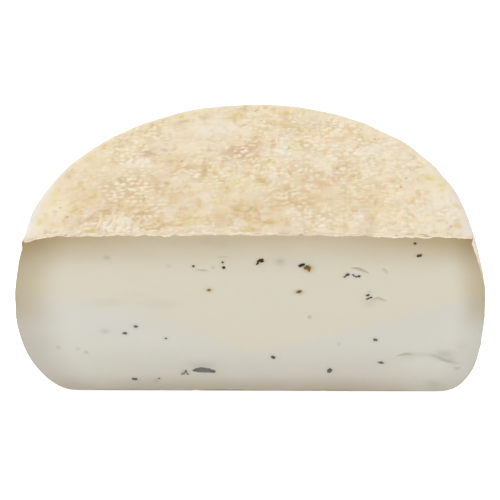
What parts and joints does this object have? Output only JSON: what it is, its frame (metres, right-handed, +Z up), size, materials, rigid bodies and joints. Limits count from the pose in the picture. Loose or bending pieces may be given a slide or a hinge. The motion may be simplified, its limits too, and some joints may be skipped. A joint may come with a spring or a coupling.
{
  "type": "half wheel of truffle pecorino",
  "caption": "Half of a small round cheese, cut straight down: pale cloth-marked rind all round, ivory paste with dark truffle flakes and small slits on the flat cut face.",
  "frame": {"origin": "under the middle of the half wheel's box, on the flat base that it stands on", "axes": "+X along the cut, to the right as the cut face is looked at; -Y out of the cut face; +Z up"},
  "size_m": [0.1702, 0.0884, 0.0754],
  "materials": {
    "rind": "dry, cloth-marked, pale straw with whitish bloom and tan patches",
    "paste": "ivory, faintly translucent and moist, yellower and darker under the rind",
    "truffle": "black-brown chopped flakes, some grey under the surface"
  },
  "bodies": {
    "root": {"pecorino_half_wheel": "rind"}
  },
  "joints": []
}
